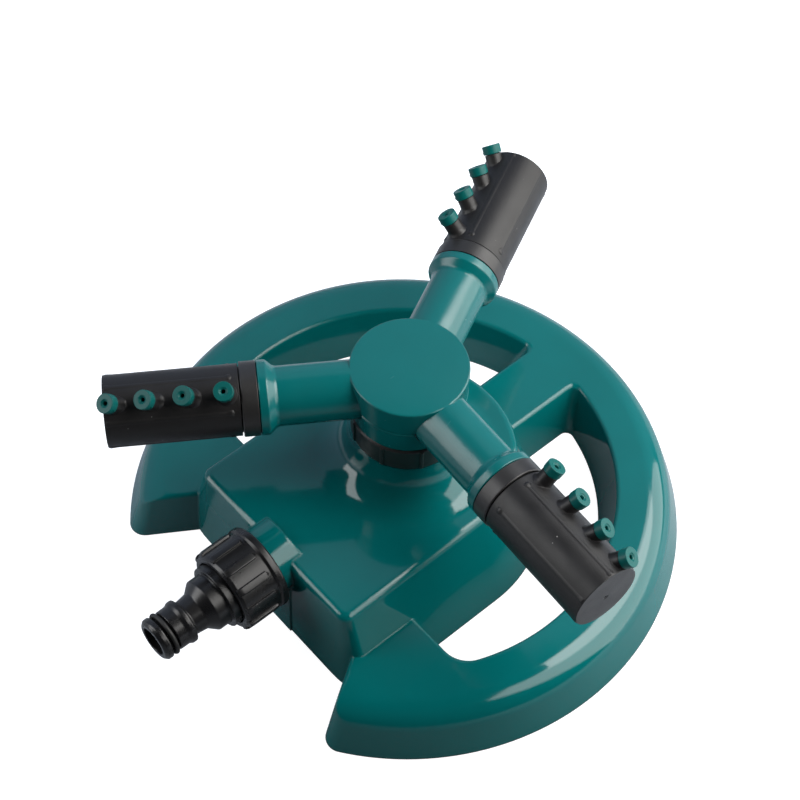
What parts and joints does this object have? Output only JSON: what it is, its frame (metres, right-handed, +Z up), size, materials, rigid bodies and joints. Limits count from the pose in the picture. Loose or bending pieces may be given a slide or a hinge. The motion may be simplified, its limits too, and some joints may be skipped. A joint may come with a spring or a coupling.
{
  "type": "rotary lawn sprinkler",
  "caption": "Rotary garden sprinkler: hollow horseshoe base with spoke and hub, flared riser, flat round rotor with twisting spray tubes, and a screwed hose coupling.",
  "frame": {"origin": "ground plane on the rotor's axis, at the foot of the riser post", "axes": "+Z up along the rotor's axis, -Y along the hose inlet out of the base, +X to the base's right seen from above with the inlet towards the viewer"},
  "size_m": [0.2128, 0.2214, 0.1013],
  "materials": {
    "green_gloss": "glossy moulded dark teal plastic",
    "black_satin": "satin black plastic",
    "tip_teal": "satin teal plastic",
    "rubber": "black rubber seal",
    "washer_white": "natural white slip washer"
  },
  "bodies": {
    "base": {"base_shell": "green_gloss", "ring_nut": "black_satin", "thrust_washer": "washer_white"},
    "rotor": {"spindle": "black_satin", "spindle_seal": "rubber", "rotor_head": "green_gloss", "rotor_lower_cover": "green_gloss", "tube_collar_a": "black_satin", "tube_collar_b": "black_satin", "tube_collar_c": "black_satin", "arm_o_ring_a": "rubber", "arm_o_ring_b": "rubber", "arm_o_ring_c": "rubber"},
    "tube_a": {"spray_tube_a": "black_satin", "nozzle_tip_a1": "tip_teal", "nozzle_tip_a2": "tip_teal", "nozzle_tip_a3": "tip_teal", "nozzle_tip_a4": "tip_teal"},
    "tube_b": {"spray_tube_b": "black_satin", "nozzle_tip_b1": "tip_teal", "nozzle_tip_b2": "tip_teal", "nozzle_tip_b3": "tip_teal", "nozzle_tip_b4": "tip_teal"},
    "tube_c": {"spray_tube_c": "black_satin", "nozzle_tip_c1": "tip_teal", "nozzle_tip_c2": "tip_teal", "nozzle_tip_c3": "tip_teal", "nozzle_tip_c4": "tip_teal"},
    "connector": {"connector_nipple": "black_satin", "connector_washer": "rubber", "connector_o_ring": "rubber"},
    "connector_nut": {"coupling_nut": "black_satin"}
  },
  "joints": [
    {"name": "rotor_spin", "type": "hinge", "parent": "base", "child": "rotor", "pos_m": [0, 0, 0.0814], "axis": [0, 0, 1], "continuous": true},
    {"name": "tube_a_twist", "type": "hinge", "parent": "rotor", "child": "tube_a", "pos_m": [0, 0, 0.0814], "axis": [-0.4431, 0.8965, 0], "continuous": true},
    {"name": "tube_b_twist", "type": "hinge", "parent": "rotor", "child": "tube_b", "pos_m": [0, 0, 0.0814], "axis": [-0.5548, -0.832, 0], "continuous": true},
    {"name": "tube_c_twist", "type": "hinge", "parent": "rotor", "child": "tube_c", "pos_m": [0, 0, 0.0814], "axis": [0.9979, -0.0645, 0], "continuous": true},
    {"name": "connector_slide", "type": "slide", "parent": "base", "child": "connector", "axis": [0, -1, 0], "range_m": [0, 0.00725]},
    {"name": "nut_turn", "type": "hinge", "parent": "connector", "child": "connector_nut", "pos_m": [0, -0.077, 0.032], "axis": [0, -1, 0], "range_deg": [0, 1440]}
  ],
  "couplings": [
    {"joint": "nut_turn", "follows": "connector_slide", "rad_per_m": 3463.7}
  ]
}
